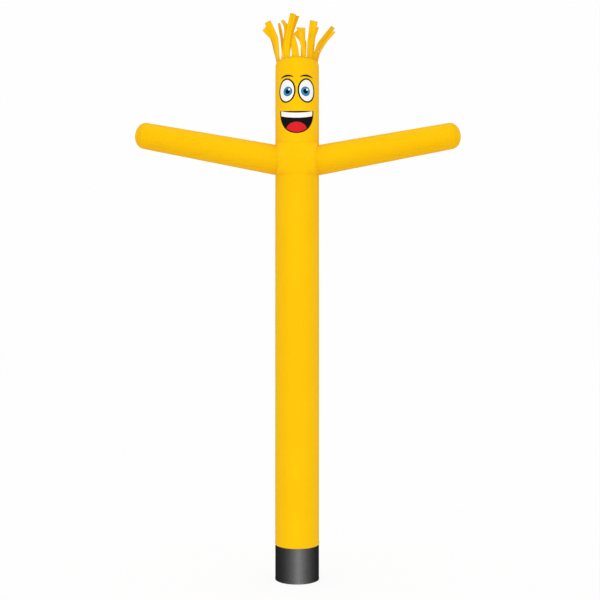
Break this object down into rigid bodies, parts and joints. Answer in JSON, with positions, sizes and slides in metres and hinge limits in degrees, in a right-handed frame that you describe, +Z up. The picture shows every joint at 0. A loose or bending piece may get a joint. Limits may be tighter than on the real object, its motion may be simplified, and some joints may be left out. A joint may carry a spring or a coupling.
{
  "type": "inflatable air dancer",
  "caption": "Tall yellow ripstop tube on a black base sleeve, with raised tapered arms, a printed smiling face and a fringe of hair strips.",
  "frame": {"origin": "centre of the base sleeve's lower edge, on the ground", "axes": "+Z up along the tube, +X along the arm on the viewer's right, the face looks towards -Y"},
  "size_m": [3.4523, 0.459, 5.9583],
  "materials": {
    "body_cloth": "satin ripstop nylon",
    "hair_cloth": "satin ripstop nylon",
    "base_cloth": "satin coated polyester"
  },
  "bodies": {
    "root": {"base_sleeve": "base_cloth", "lower_body": "body_cloth", "chest_band": "body_cloth", "head_tube": "body_cloth", "crown": "body_cloth", "arm_left": "body_cloth", "arm_right": "body_cloth", "arm_cap_left": "body_cloth", "arm_cap_right": "body_cloth", "hair_01": "hair_cloth", "hair_02": "hair_cloth", "hair_03": "hair_cloth", "hair_04": "hair_cloth", "hair_05": "hair_cloth", "hair_06": "hair_cloth", "hair_07": "hair_cloth", "hair_08": "hair_cloth", "hair_09": "hair_cloth", "hair_10": "hair_cloth", "hair_11": "hair_cloth", "hair_12": "hair_cloth", "hair_13": "hair_cloth"}
  },
  "joints": []
}
